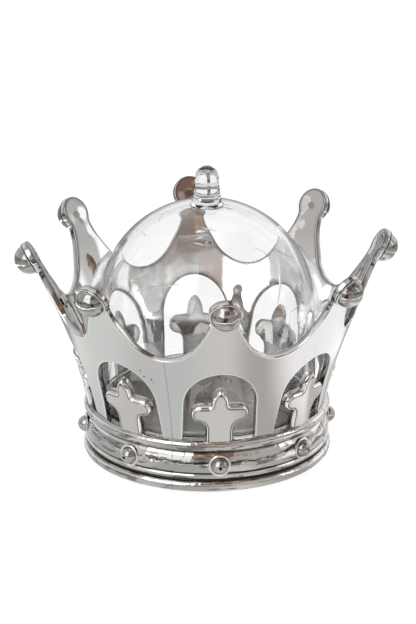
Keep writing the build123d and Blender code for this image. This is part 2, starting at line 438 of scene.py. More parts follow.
def trefoils(material):
    """The eight trefoils, which follow the wall."""
    flat = Shape()
    chains = [(trefoil_outline(), False)]
    wall_region(flat, chains, lambda ends: ends[0], TREFOIL_EDGE, TREFOIL_ROUND)
    return spread_round(flat).piece("trefoils", material)


# ---- turned pieces ----


def turned_rows(shape, profile, centre, spread, rise, segments, closed, builds=0.0):
    """A section of (radius, height) turned about an axis through a centre, added to a shape."""
    normals = -line_normals(profile, closed)
    side = np.cross(rise, spread)
    rows, row_normals = [], []
    for turn in np.linspace(0, 2 * math.pi, segments + 1):
        out = math.cos(turn) * spread + math.sin(turn) * side
        rows.append(centre + profile[:, :1] * out + profile[:, 1:] * rise)
        row_normals.append(normals[:, :1] * out + normals[:, 1:] * rise)
    shape.strip(rows, row_normals, closed=closed, flip=True, builds=builds)


X_AXIS, Y_AXIS, Z_AXIS = np.eye(3)


def turned(name, profile, material, segments=240, closed=True):
    """A solid of revolution about +Z of a section drawn anticlockwise as radius and height."""
    shape = Shape()
    turned_rows(shape, profile, np.zeros(3), X_AXIS, Z_AXIS, segments, closed)
    return shape.piece(name, material)


# Outer arcs of the band's rings, lowest first, each as foot, middle and top
RINGS = (
    ((27.5, 0.0), (28.8, 1.4), (27.7, 2.8)),
    ((27.7, 3.0), (28.4, 3.85), (27.9, 4.7)),
    ((28.35, 4.9), (28.15, 7.6), (27.15, 9.7)),
    ((27.4, 9.8), (28.6, 10.95), (27.9, 12.4)),
)
# Inside the rings: the sill under the wall, the ledge that carries the jar, the bore, and the radius
# and height of the floor plate's recess
SILL_RADIUS = 27.6
LEDGE_BORE = 23.9
LEDGE_FOOT = 11.1
BAND_BORE = 25.8
BORE_TOP = 9.1
RECESS = (26.6, 2.2)
RING_STEP = 0.4
BAND_ROUND = 0.16


def rounded(corners, radius):
    """A closed section with its corners rounded."""
    points = []
    count = len(corners)
    for i in range(count):
        before, here, after = (np.array(corners[(i + k) % count], float) for k in (-1, 0, 1))
        back, ahead = before - here, after - here
        back_length, ahead_length = np.linalg.norm(back), np.linalg.norm(ahead)
        reach = min(radius, back_length * CORNER_REACH, ahead_length * CORNER_REACH)
        start = here + back / back_length * reach
        end = here + ahead / ahead_length * reach
        for t in np.linspace(0, 1, CORNER_POINTS):
            points.append((1 - t) ** 2 * start + 2 * t * (1 - t) * here + t**2 * end)
    return np.array(points)


def band_section():
    """Section of the base band: four rounded rings, bore, lid ledge and floor recess."""
    points = [(RECESS[0], 0.0)]
    for foot, middle, top in RINGS:
        points += [tuple(p) for p in resample(arc_through(foot, middle, top), RING_STEP)]
    points += [
        (SILL_RADIUS, BAND_TOP),
        (LEDGE_BORE, BAND_TOP),
        (LEDGE_BORE, LEDGE_FOOT),
        (BAND_BORE, BORE_TOP),
        (BAND_BORE, RECESS[1]),
        RECESS,
    ]
    return rounded(points, BAND_ROUND)


# Fine parting ridges that the mould leaves, in every other valley
SEAM_HALF_WIDTH = 0.14
SEAM_HEIGHT = 0.075
SEAM_SINK = 0.02
SEAM_PLACES = (0, 2, 4, 6)
SEAM_STEP = 0.12
SEAM_WALL_POINTS = 60
# A ridge's section: how far round it goes each way from its top in degrees, and its points
SEAM_ROUND = 80
SEAM_POINTS = 7
# Painted light on a ridge, at angles either side of its top: a faint painted highlight on top and
# painted shade down its sides
SEAM_ANGLES = (10, 60)
SEAM_PAINTED_LIGHT = (0.1, -0.9)


def seam_rows(line, out, across):
    """A low rounded ridge along a line: its rows of points, their normals and their painted light."""
    rows, normals = [], []
    angles = np.linspace(-SEAM_ROUND, SEAM_ROUND, SEAM_POINTS)
    builds = np.interp(np.abs(angles), SEAM_ANGLES, SEAM_PAINTED_LIGHT)
    for angle in np.radians(angles):
        lift, slide = math.cos(angle), math.sin(angle)
        raised = (SEAM_HEIGHT * lift - SEAM_SINK) * out
        rows.append(line + SEAM_HALF_WIDTH * slide * across + raised)
        normal = SEAM_HALF_WIDTH * lift * out + SEAM_HEIGHT * slide * across
        normals.append(normal / np.linalg.norm(normal, axis=1, keepdims=True))
    return rows, normals, builds[:, None]


def seams(material):
    """The parting ridges, down the wall from each of their valleys and over the rings."""
    foot, top = (float(climb(z)) for z in (BAND_TOP - FOOT_SINK, VALLEY_Z))
    ups = np.linspace(foot, top - EDGE_ROUND, SEAM_WALL_POINTS)
    lean = ups / FLARE_RADIUS
    wall_line = np.column_stack([radius_at(ups), FLARE_CENTRE[1] + FLARE_RADIUS * np.sin(lean)])
    wall_out = np.column_stack([np.cos(lean), -np.sin(lean)])
    # Each ring's first two points are left out, so that no ridge goes over 0.003 mm under the foot
    rings = [resample(arc_through(*ring), SEAM_STEP)[2:] for ring in RINGS]
    shape = Shape()
    for place in SEAM_PLACES:
        turn = (place - 0.5) * PITCH - math.pi / 2
        radial = np.array([math.cos(turn), math.sin(turn), 0.0])
        across = np.array([-math.sin(turn), math.cos(turn), 0.0])
        lines = [(wall_line, wall_out)] + [(ring, -line_normals(ring)) for ring in rings]
        for line, out in lines:
            spots = line[:, :1] * radial + line[:, 1:] * Z_AXIS
            away = out[:, :1] * radial + out[:, 1:] * Z_AXIS
            rows, normals, builds = seam_rows(spots, away, across)
            shape.strip(rows, normals, flip=True, builds=builds)
    return shape.piece("parting_ridges", material)


# ---- seat rims and beads ----

# Each rim's middle radius and its own radius
BALL_RIM = (3.62, 0.27)
BEAD_RIM = (2.28, 0.42)
RIM_POINTS = 20
RIM_SEGMENTS = 72
# Painted light on a rim, by height as a part of its own radius: painted shade low down and a
# painted highlight at the top
RIM_HEIGHTS = (0.1, 0.5, 0.9)
RIM_PAINTED_LIGHT = (-0.9, 0.0, 0.45)
# A bead: its ball's radius, its height, how far out its seat is, how far its ball's middle is above
# that, and the angle in degrees where its ball starts
BEAD_BALL = 1.92
BEAD_Z = 6.6
BEAD_FACE = 28.0
BEAD_LIFT = 0.25
BEAD_START = -35
BEAD_SEGMENTS = 64


def wheel(major, minor):
    """Section of a round rim about its own axis."""
    angles = np.linspace(0, 2 * math.pi, RIM_POINTS, endpoint=False)
    return np.column_stack([major + minor * np.cos(angles), minor * np.sin(angles)])


def wheel_painted_light(section):
    """Painted light on a rim: a painted highlight along its top and painted shade where it meets what
    it stands on.
    """
    return np.interp(section[:, 1] / section[:, 1].max(), RIM_HEIGHTS, RIM_PAINTED_LIGHT)


def outward(place, lean):
    """The outward direction at one of the eight places, leaning down, and a direction across it."""
    turn = place * PITCH
    flat = np.array([math.sin(turn), -math.cos(turn), 0.0])
    rise = math.cos(lean) * flat - math.sin(lean) * Z_AXIS
    return rise, np.array([math.cos(turn), math.sin(turn), 0.0])


def ball_rims(material):
    """The raised rims that the tip balls sit in."""
    shape = Shape()
    rim = wheel(*BALL_RIM)
    up = float(climb(HEAD_Z))
    for place in range(POINTS):
        rise, spread = outward(place, up / FLARE_RADIUS)
        centre = float(radius_at(up)) * outward(place, 0.0)[0]
        centre[2] = HEAD_Z
        turned_rows(shape, rim, centre, spread, rise, RIM_SEGMENTS, True, wheel_painted_light(rim))
    return shape.piece("ball_rims", material)


def bead(place, material):
    """One bead on the band: a round rim and the half ball in it."""
    shape = Shape()
    rise, spread = outward(place, 0.0)
    centre = rise * BEAD_FACE
    centre[2] = BEAD_Z
    rim = wheel(*BEAD_RIM)
    turned_rows(shape, rim, centre, spread, rise, BEAD_SEGMENTS, True, wheel_painted_light(rim))
    ball = arc((0, BEAD_LIFT), BEAD_BALL, BEAD_START, 90)
    turned_rows(shape, ball, centre, spread, rise, BEAD_SEGMENTS, False)
    return shape.piece(f"bead_{place + 1}", material)


# ---- bell jar and knob ----

DOME_RADIUS = 24.95
DOME_CENTRE = 35.1
DOME_THICKNESS = 1.3
DOME_FOOT = 12.7
DOME_FOOT_RADIUS = 25.2
# Radius and top of the flange that the jar stands on, and of the boss under the knob
FLANGE = (25.5, 13.7)
BOSS = (3.9, 60.5)
BOSS_ROUND = 0.6
BOSS_LEAN = 0.5
SPIGOT = 1.6
FIT = 0.02
# The knob's foot: its radius, the radius above it and its height. Its nose: radius and middle.
KNOB_FOOT = (3.5, 3.15, 0.6)
KNOB_NOSE = (2.7, 66.3)
KNOB_CHAMFER = 0.12
KNOB_STEP = 0.5
KNOB_SEGMENTS = 96
KNOB_CREASE = math.radians(35)
# The ribbon eye across the knob: its height and radius
EYE_Z = 64.3
EYE = 0.75
EYE_SEGMENTS = 48


def dome_section():
    """Section of the bell jar: flange, side, round top, boss and the hole in it."""
    boss_radius, boss_top = BOSS
    spread = boss_radius + BOSS_LEAN
    boss_foot = DOME_CENTRE + math.sqrt(DOME_RADIUS**2 - spread**2)
    end = math.degrees(math.atan2(boss_foot - DOME_CENTRE, spread))
    outer = arc((0, DOME_CENTRE), DOME_RADIUS, 0, end)
    inner_radius = DOME_RADIUS - DOME_THICKNESS
    top = math.degrees(math.acos(SPIGOT / inner_radius))
    inner = arc((0, DOME_CENTRE), inner_radius, top, 0)
    hole = (SPIGOT, boss_top)
    shoulder = (boss_radius - 0.1, boss_foot + 0.1)
    rim = (boss_radius - BOSS_LEAN, boss_top)
    edge = rounded([outer[-1], shoulder, rim, hole], BOSS_ROUND)
    flange_radius, flange_top = FLANGE
    foot = [
        (DOME_FOOT_RADIUS - DOME_THICKNESS, DOME_FOOT),
        (flange_radius - 0.15, DOME_FOOT),
        (flange_radius, DOME_FOOT + 0.15),
        (flange_radius, flange_top - 0.3),
        (flange_radius - 0.1, flange_top - 0.06),
        (DOME_FOOT_RADIUS + FIT, flange_top + 0.1),
    ]
    boss = edge[CORNER_POINTS:-CORNER_POINTS]
    return np.vstack([foot, outer, boss, [hole, inner[0] + (0, FIT)], inner[1:]])


def cut(solid, tool):
    """A mesh object with another cut out of it."""
    change = solid.modifiers.new("cut", "BOOLEAN")
    change.operation = "DIFFERENCE"
    change.solver = "EXACT"
    change.object = tool
    depsgraph = bpy.context.evaluated_depsgraph_get()
    mesh = bpy.data.meshes.new_from_object(solid.evaluated_get(depsgraph))
    solid.modifiers.clear()
    solid.data = mesh
    bpy.data.objects.remove(tool)


def rod(radius, length, material):
    """A plain round bar along X at the height of the eye, as a cutter."""
    shape = Shape()
    ends = np.array([(0.0, -length), (radius, -length), (radius, length), (0.0, length)])
    centre = EYE_Z * Z_AXIS
    turned_rows(shape, ends, centre, Y_AXIS, X_AXIS, EYE_SEGMENTS, False)
    return shape.piece("eye_cutter", material)


def knob(material):
    """The bullet knob, with its ribbon eye across it."""
    foot, waist, height = KNOB_FOOT
    nose, nose_z = KNOB_NOSE
    low = DOME_CENTRE + DOME_RADIUS - DOME_THICKNESS
    spigot = SPIGOT - FIT
    seat = BOSS[1] + FIT
    skirt = [
        (0, low),
        (spigot, low),
        (spigot, seat),
        (foot - KNOB_CHAMFER, seat),
        (foot, seat + KNOB_CHAMFER),
        (waist + 0.08, seat + height),
    ]
    side = np.array([(waist, seat + height + 0.4), (nose + 0.05, nose_z - 0.4)])
    profile = np.vstack([skirt, resample(side, KNOB_STEP), arc((0, nose_z), nose, 0, 90)])
    solid = turned("knob", profile, material, KNOB_SEGMENTS, False)
    cut(solid, rod(EYE, 2 * foot, material))
    solid.data.shade_smooth()
    solid.data.set_sharp_from_angle(angle=KNOB_CREASE)
    return solid


# ---- node trees ----


class Nodes:
    """A node tree, and short ways to add to it."""

    def __init__(self, tree):
        self.tree = tree

    def add(self, kind, **values):
        """A new node with attributes, or with inputs set by name."""
        made = self.tree.nodes.new(kind)
        for key, value in values.items():
            if hasattr(made, key):
                setattr(made, key, value)
            else:
                self.feed(made.inputs[key.replace("_", " ")], value)
        return made

    def feed(self, slot, value):
        """A value, a colour or another node's output, put into an input."""
        if isinstance(value, bpy.types.NodeSocket):
            self.tree.links.new(value, slot)
        elif isinstance(value, tuple) and len(value) == 3 and slot.type == "RGBA":
            slot.default_value = (*value, 1)
        else:
            slot.default_value = value

    def math(self, operation, *values):
        made = self.add("ShaderNodeMath", operation=operation)
        for slot, value in zip(made.inputs, values):
            self.feed(slot, value)
        return made.outputs[0]

    def ramp(self, value, low, high, start=0.0, end=1.0):
        """A value that goes smoothly from start to end as another goes from low to high."""
        made = self.add("ShaderNodeMapRange", interpolation_type="SMOOTHSTEP", Value=value)
        made.inputs["From Min"].default_value = low
        made.inputs["From Max"].default_value = high
        made.inputs["To Min"].default_value = start
        made.inputs["To Max"].default_value = end
        return made.outputs["Result"]

    def mix(self, factor, first, second):
        """A colour between two colours."""
        made = self.add("ShaderNodeMix", data_type="RGBA", Factor=factor)
        self.feed(made.inputs["A"], first)
        self.feed(made.inputs["B"], second)
        return made.outputs["Result"]

    def noise(self, spot, scale, detail=1.0):
        made = self.add("ShaderNodeTexNoise", Vector=spot, Scale=scale, Detail=detail)
        return made.outputs["Fac"]

    def apart(self, value, middle):
        """How far a value is from a number, either way."""
        return self.math("ABSOLUTE", self.math("SUBTRACT", value, middle))

    def band(self, angle, middle, half, soft):
        """One between two angles in degrees and nought outside them, with soft edges."""
        low, high = math.radians(half - soft / 2), math.radians(half + soft / 2)
        return self.ramp(self.apart(angle, math.radians(middle)), low, high, 1.0, 0.0)

    def near_any(self, value, levels, reach):
        """One where a value is close to any of some levels, nought away from them all."""
        found = 0.0
        for level in levels:
            close = self.ramp(self.apart(value, level), *reach, 1.0, 0.0)
            found = self.math("MAXIMUM", found, close)
        return found

    def part(self, spot):
        """The X, Y and Z of a vector."""
        return self.add("ShaderNodeSeparateXYZ", Vector=spot).outputs

    def vector(self, operation, first, second=None):
        """A vector sum, product or the like, as its node's outputs."""
        made = self.add("ShaderNodeVectorMath", operation=operation)
        self.feed(made.inputs[0], first)
        if second is not None:
            self.feed(made.inputs[1], second)
        return made.outputs

    def bump(self, height, strength, distance, under=None):
        """A normal bent by a height, over another bump."""
        made = self.add("ShaderNodeBump", Strength=strength, Distance=distance, Height=height)
        if under is not None:
            self.feed(made.inputs["Normal"], under)
        return made.outputs["Normal"]

    def choose(self, factor, first, second):
        """A mix of two shaders."""
        made = self.add("ShaderNodeMixShader")
        for slot, value in zip(made.inputs, (factor, first.outputs[0], second.outputs[0])):
            self.feed(slot, value)
        return made.outputs[0]


# ---- materials ----

# Lengths here are in metres, and scales are for a noise or cell texture in metres
COOL, WARM = (0.975, 1.005, 1.01), (1.02, 0.995, 0.985)
PATCH_SCALE, PATCH_RANGE = 38.0, (0.4, 0.6)
# Dull streaks, drawn out along the rings
STREAK = (0.15, 0.13, 0.115)
STREAK_STRETCH = (1.0, 1.0, 5.0)
STREAK_SCALE, STREAK_RANGE = 170.0, (0.54, 0.62)
# Painted shade in the band's grooves: their heights, and how far from dark to bright in height and
# radius
GROOVES = (0.0029, 0.0048, 0.00975)
GROOVE_REACH = (0.00015, 0.00045)
GROOVE_DEPTH = (0.0281, 0.0284)
# The rings' sharpest edges beside those grooves, where a painted highlight lies
RING_EDGES = (0.0021, 0.0042, 0.0090, 0.0119)
CREST_REACH = (0.0001, 0.0003)
CREST_HIGHLIGHT = 0.6
# Colours of the painted highlights and the painted shade
PAINTED_HIGHLIGHT = (0.98, 0.98, 0.98)
PAINTED_SHADE = (0.08, 0.073, 0.068)
# Radii between which the band's inside ends and its outside begins
BAND_SKIN = (0.0268, 0.0270)
# How much duller the plating is deep inside
MATT_INSIDE = 0.22

# Pits: their size as a part of a cell, and how thick the noise is where they gather
PIT = (0.08, 0.075, 0.07)
PIT_SCALE, PIT_SIZE = 600.0, (0.10, 0.17)
PIT_GROUP_SCALE, PIT_GROUPS = 40.0, (0.71, 0.74)
PIT_ROUGHNESS = 0.3
# A patch of nicks beside the front left valley, and its radius from full to none
NICKED = (-0.0190, -0.0272, 0.0290)
NICKED_REACH = (0.0042, 0.0048)

HAZE_SCALE, HAZE_RANGE, HAZE = 160.0, (0.35, 0.75), (0.02, 0.07)
# Scuffs on the foot that it slides on
SCUFF_SCALE, SCUFF_HEIGHT, SCUFF = 700.0, (0.0004, 0.0016), 0.3

# Relief: noise scale, detail and depth of the mould's slow waves, small dents and orange peel
WAVE = (110.0, 1.0, 0.0006)
DENT = (330.0, 2.0, 0.0003)
PEEL = (900.0, 2.0, 0.0001)
PEEL_STRENGTH = 0.05
PIT_STRENGTH, PIT_DEPTH = 0.6, 0.0001


def new_material(name):
    """A node material, as its node tree and its Principled shader."""
    material = bpy.data.materials.new(name)
    material.use_nodes = True
    return material, Nodes(material.node_tree), material.node_tree.nodes["Principled BSDF"]


def plating_colour(nodes, spot, outer, radius, tint, uneven, streaks):
    """Plating a touch warmer here and cooler there, with streaks, painted shade in the grooves and
    painted highlights on the edges.
    """
    cool = tuple(c * k * (1 - uneven) for c, k in zip(tint, COOL))
    warm = tuple(c * k * (1 + uneven) for c, k in zip(tint, WARM))
    patch = nodes.ramp(nodes.noise(spot, PATCH_SCALE), *PATCH_RANGE)
    colour = nodes.mix(patch, cool, warm)

    drawn = nodes.vector("MULTIPLY", spot, STREAK_STRETCH)["Vector"]
    streak = nodes.ramp(nodes.noise(drawn, STREAK_SCALE, 3.0), *STREAK_RANGE, 0.0, streaks)
    colour = nodes.mix(nodes.math("MULTIPLY", streak, outer), colour, STREAK)

    # Painted shade at the bottom of the band's grooves, and a painted highlight on the rings' edges
    height = nodes.part(spot)["Z"]
    groove_shade = nodes.near_any(height, GROOVES, GROOVE_REACH)
    sunk_shade = nodes.math("MULTIPLY", outer, nodes.ramp(radius, *GROOVE_DEPTH, 1.0, 0.0))
    crest_highlight = nodes.near_any(height, RING_EDGES, CREST_REACH)
    crest_highlight = nodes.math("MULTIPLY", crest_highlight, nodes.math("MULTIPLY", outer, CREST_HIGHLIGHT))
    colour = nodes.mix(crest_highlight, colour, PAINTED_HIGHLIGHT)
    colour = nodes.mix(nodes.math("MULTIPLY", groove_shade, sunk_shade), colour, PAINTED_SHADE)

    # Painted highlights on sharp edges and painted shade in corners
    painted_level = nodes.add("ShaderNodeAttribute", attribute_name="painted_light").outputs["Fac"]
    colour = nodes.mix(nodes.ramp(painted_level, 0.0, 1.0), colour, PAINTED_HIGHLIGHT)
    return nodes.mix(nodes.ramp(painted_level, -1.0, 0.0, 1.0, 0.0), colour, PAINTED_SHADE)


def pits(nodes, spot):
    """One in each small pit and nought round it. Pits lie in loose groups and one patch."""
    cells = nodes.add("ShaderNodeTexVoronoi", Vector=spot, Scale=PIT_SCALE).outputs["Distance"]
    group = nodes.ramp(nodes.noise(spot, PIT_GROUP_SCALE, 0.0), *PIT_GROUPS)
    away = nodes.vector("DISTANCE", spot, NICKED)["Value"]
    group = nodes.math("MAXIMUM", group, nodes.ramp(away, *NICKED_REACH, 1.0, 0.0))
    return nodes.math("MULTIPLY", nodes.ramp(cells, *PIT_SIZE, 1.0, 0.0), group)


def plating_roughness(nodes, spot, outer, pit, dull):
    """Haze, scuffs on the foot, a duller inside and rough pits."""
    haze = nodes.noise(spot, HAZE_SCALE, 3.0)
    haze = nodes.ramp(haze, *HAZE_RANGE, HAZE[0] + dull, HAZE[1] + dull)
    foot = nodes.ramp(nodes.part(spot)["Z"], *SCUFF_HEIGHT, 1.0, 0.0)
    scuff = nodes.math("MULTIPLY", foot, nodes.noise(spot, SCUFF_SCALE, 2.0))
    rough = nodes.math("ADD", haze, nodes.math("MULTIPLY", scuff, SCUFF))
    matt = nodes.math("MULTIPLY", nodes.math("SUBTRACT", 1.0, outer), MATT_INSIDE)
    rough = nodes.math("ADD", rough, matt)
    return nodes.math("ADD", rough, nodes.math("MULTIPLY", pit, PIT_ROUGHNESS))


def plating_relief(nodes, spot, outer, pit, wave, dents):
    """The normal over slow waves left by the mould, dents on the outside, peel and pits."""
    normal = None
    depth = nodes.math("MULTIPLY", outer, dents)
    for strength, (scale, detail, distance) in ((wave, WAVE), (depth, DENT), (PEEL_STRENGTH, PEEL)):
        normal = nodes.bump(nodes.noise(spot, scale, detail), strength, distance, normal)
    return nodes.bump(nodes.math("SUBTRACT", 1.0, pit), PIT_STRENGTH, PIT_DEPTH, normal)


def chrome(name, tint, wave=0.14, dents=0.0, dull=0.0, uneven=0.0, streaks=0.0):
    """Vacuum-plated plastic: mirror bright and a little wavy, with pits, haze, painted shade in the
    grooves and painted highlights on the edges.
    """
    material, nodes, shader = new_material(name)
    shader.inputs["Metallic"].default_value = 1.0
    spot = nodes.add("ShaderNodeTexCoord").outputs["Object"]
    x, y, _ = nodes.part(spot)
    square = nodes.math("ADD", nodes.math("MULTIPLY", x, x), nodes.math("MULTIPLY", y, y))
    radius = nodes.math("SQRT", square)
    outer = nodes.ramp(radius, *BAND_SKIN)
    pit = pits(nodes, spot)
    colour = plating_colour(nodes, spot, outer, radius, tint, uneven, streaks)
    values = {
        "Base Color": nodes.mix(pit, colour, PIT),
        "Roughness": plating_roughness(nodes, spot, outer, pit, dull),
        "Normal": plating_relief(nodes, spot, outer, pit, wave, dents),
    }
    for slot, value in values.items():
        nodes.feed(shader.inputs[slot], value)
    return material


STYRENE_IOR = 1.50
# Scratches: straight cell edges bent a little, of this width, only where a noise is high
SCRATCH_SCALE, SCRATCH_WIDTH = 62.0, (0.003, 0.010)
SCRATCH_BEND_SCALE, SCRATCH_BEND = 60.0, 0.006
SCRATCHED_SCALE, SCRATCHED = 150.0, (0.64, 0.68)
SCRATCH_ROUGHNESS = 0.35
# Strength and depth of a scratch's cut and of the slow waves
SCRATCH_CUT = (0.5, 0.0001)
STYRENE_WAVE = (0.10, 0.0006)
STYRENE_WAVE_SCALE = 80.0


def clear(name, tint):
    """Clear styrene, a little grey, with slow waves and a few hair-fine scratches."""
    material, nodes, shader = new_material(name)
    shader.inputs["Base Color"].default_value = (*tint, 1)
    shader.inputs["Transmission Weight"].default_value = 1.0
    shader.inputs["IOR"].default_value = STYRENE_IOR
    spot = nodes.add("ShaderNodeTexCoord").outputs["Object"]
    sway = nodes.add("ShaderNodeTexNoise", Vector=spot, Scale=SCRATCH_BEND_SCALE, Detail=1.0)
    small = nodes.add("ShaderNodeVectorMath", operation="SCALE", Scale=SCRATCH_BEND)
    nodes.feed(small.inputs[0], sway.outputs["Color"])
    bent = nodes.vector("ADD", spot, small.outputs[0])[0]
    lines = nodes.add("ShaderNodeTexVoronoi", feature="DISTANCE_TO_EDGE", Scale=SCRATCH_SCALE)
    nodes.feed(lines.inputs["Vector"], bent)
    hair = nodes.ramp(lines.outputs["Distance"], *SCRATCH_WIDTH, 1.0, 0.0)
    here = nodes.ramp(nodes.noise(spot, SCRATCHED_SCALE, 0.0), *SCRATCHED)
    scratch = nodes.math("MULTIPLY", hair, here)
    nodes.feed(shader.inputs["Roughness"], nodes.math("MULTIPLY", scratch, SCRATCH_ROUGHNESS))
    slow = nodes.bump(nodes.noise(spot, STYRENE_WAVE_SCALE), *STYRENE_WAVE)
    nodes.feed(shader.inputs["Normal"], nodes.bump(scratch, *SCRATCH_CUT, slow))
    return material


# ---- studio ----

ROOM = (0.66, 0.65, 0.64)
DARK = (0.09, 0.078, 0.073)
DIM = (0.60, 0.54, 0.50)
# Someone standing in front: their dark clothes, and azimuth, half width and softness in degrees
PERSON_LOW = (0.075, 0.078, 0.10)
PERSON = (-10, 11, 4)

# Each card: what it is, its azimuth from the front towards +X, elevation, half width, half height and
# softness in degrees, and its colour. A later card lies over an earlier one.
CARDS = (
    ("overhead", 0, 90, 400, 30, 14, (0.82, 0.79, 0.78)),
    ("back_wall", 180, 22, 66, 40, 14, (0.88, 0.89, 0.90)),
    ("right_rear_wall", 130, 12, 22, 14, 8, (1.15, 1.15, 1.17)),
    ("right_room", 50, 43, 44, 20, 8, (0.44, 0.39, 0.36)),
    ("dark_high_right", 88, 60, 42, 13, 6, (0.20, 0.16, 0.14)),
    ("left_soft_box", -43, 36, 32, 26, 4, (2.2, 2.18, 2.13)),
    ("left_strip", -70, 20, 5, 22, 3, (0.9, 0.9, 0.88)),
    ("right_strip", 78, 24, 7, 16, 4, (1.5, 1.5, 1.52)),
    ("warm_patch", 20, 47, 14, 7, 5, (0.42, 0.26, 0.16)),
    ("person_top", 1, 43, 21, 14, 4, (0.26, 0.165, 0.125)),
    ("person_lamp", -1, 42, 4, 6, 5, (0.62, 0.34, 0.17)),
    ("person", -10, 17, 11, 13, 4, (0.62, 0.54, 0.50)),
    ("person_waist", -10, 1, 11, 4, 4, PERSON_LOW),
)
# The dim room in front and the dark far edge, each as its middle, half size and softness in degrees
FRONT = (12, 48, 8)
FRONT_HEIGHT = (0, 0, 10)
HORIZON = (0, 4, 4)
HORIZON_SIDE = (-0.3, 0.4)
CLUTTER_SCALE, CLUTTER_RANGE = 9.0, (0.36, 0.54)


def dim_front(nodes, spot, azimuth):
    """The cluttered dim room in front of the table: its colour, and where it lies in azimuth."""
    clutter = nodes.ramp(nodes.noise(spot, CLUTTER_SCALE, 4.0), *CLUTTER_RANGE)
    dim = nodes.mix(nodes.band(azimuth, *PERSON), nodes.mix(clutter, DARK, DIM), PERSON_LOW)
    return dim, nodes.band(azimuth, *FRONT)


def mirrored(nodes):
    """One for light that has been reflected on its way here, nought for what is seen directly."""
    bounces = nodes.add("ShaderNodeLightPath").outputs["Glossy Depth"]
    return nodes.math("GREATER_THAN", bounces, 0.5)


def studio():
    """World light: white to the camera, and soft boxes and cards for the plating to reflect."""
    world = bpy.data.worlds.new("studio")
    bpy.context.scene.world = world
    world.use_nodes = True
    world.node_tree.nodes.clear()
    nodes = Nodes(world.node_tree)
    spot = nodes.add("ShaderNodeTexCoord").outputs["Generated"]
    x, y, z = nodes.part(spot)
    azimuth = nodes.math("ARCTAN2", x, nodes.math("MULTIPLY", y, -1.0))
    behind = nodes.math("SUBTRACT", math.pi, nodes.math("ABSOLUTE", azimuth))
    elevation = nodes.math("ARCSINE", z)

    front, front_wide = dim_front(nodes, spot, azimuth)
    front_mask = nodes.math("MULTIPLY", front_wide, nodes.band(elevation, *FRONT_HEIGHT))
    colour = nodes.mix(front_mask, ROOM, front)
    far_edge = nodes.band(elevation, *HORIZON)
    far_edge = nodes.math("MULTIPLY", far_edge, nodes.ramp(y, *HORIZON_SIDE, 1.0, 0.0))
    colour = nodes.mix(far_edge, colour, DARK)
    for _, middle, height, half_width, half_height, soft, shade in CARDS:
        # Azimuth jumps at the back, so a card there is measured from it
        across = (behind, 0) if middle == 180 else (azimuth, middle)
        wide = nodes.band(*across, half_width, soft)
        mask = nodes.math("MULTIPLY", wide, nodes.band(elevation, height, half_height, soft))
        colour = nodes.mix(mask, colour, shade)

    cards = nodes.add("ShaderNodeBackground", Color=colour)
    white = nodes.add("ShaderNodeBackground", Color=(1.0, 1.0, 1.0))
    nodes.add("ShaderNodeOutputWorld", Surface=nodes.choose(mirrored(nodes), white, cards))
    bpy.context.scene.view_settings.view_transform = "Standard"


# The table top in metres: half its size, its front edge, and where its far part goes dim
TABLE_SIZE = 3.0
TABLE_EDGE, EDGE_SOFT = 0.125, 0.002
FAR_REACH, FAR_SIDE = (0.24, 0.30), (-0.10, 0.05)
# Painted light and shade on the table round the crown, seen only in the plating, in turn from the
# left: each colour, and where across the table it gives way to the next. The dimmer colours near
# the crown are a painted shadow of it, and the bright one on the near right is painted light.
NEAR_LEFT, NEAR_LEFT_EDGE = (1.04, 1.04, 1.02), (-0.052, -0.040)
FRONT_LEFT, FRONT_LEFT_EDGE = (0.90, 0.90, 0.89), (-0.020, 0.0)
FRONT_MIDDLE, FRONT_MIDDLE_EDGE = (1.0, 0.985, 0.965), (0.005, 0.022)
FRONT_RIGHT, FRONT_RIGHT_EDGE = (0.69, 0.675, 0.66), (0.026, 0.045)
NEAR_RIGHT = (1.46, 1.46, 1.50)
# A painted shadow beside the crown on the right, dimmer than the table round it: its two sides and
# its front
SHADE_PATCH, SHADE_PATCH_LEFT, SHADE_PATCH_RIGHT = (0.80, 0.79, 0.77), (0.026, 0.040), (0.047, 0.055)
SHADE_PATCH_FRONT = (-0.014, -0.008)
# Farther out, behind, and in a bright painted strip of light that is brighter on the left
OUTER, OUTER_REACH = (0.62, 0.61, 0.60), (0.060, 0.085)
BEHIND, BEHIND_START = (0.42, 0.42, 0.43), (0.030, 0.060)
STRIP_START, STRIP_END = (0.098, 0.102), (0.112, 0.116)
STRIP_LEFT, STRIP_RIGHT, STRIP_TURN = (3.2, 3.2, 3.2), (1.6, 1.6, 1.6), (-0.3, 0.3)
# Seen directly the table is nearly white: a little matt paint under an even glow
TABLE_MATT, TABLE_GLOW = (0.20, 0.20, 0.20), (0.88, 0.88, 0.88)


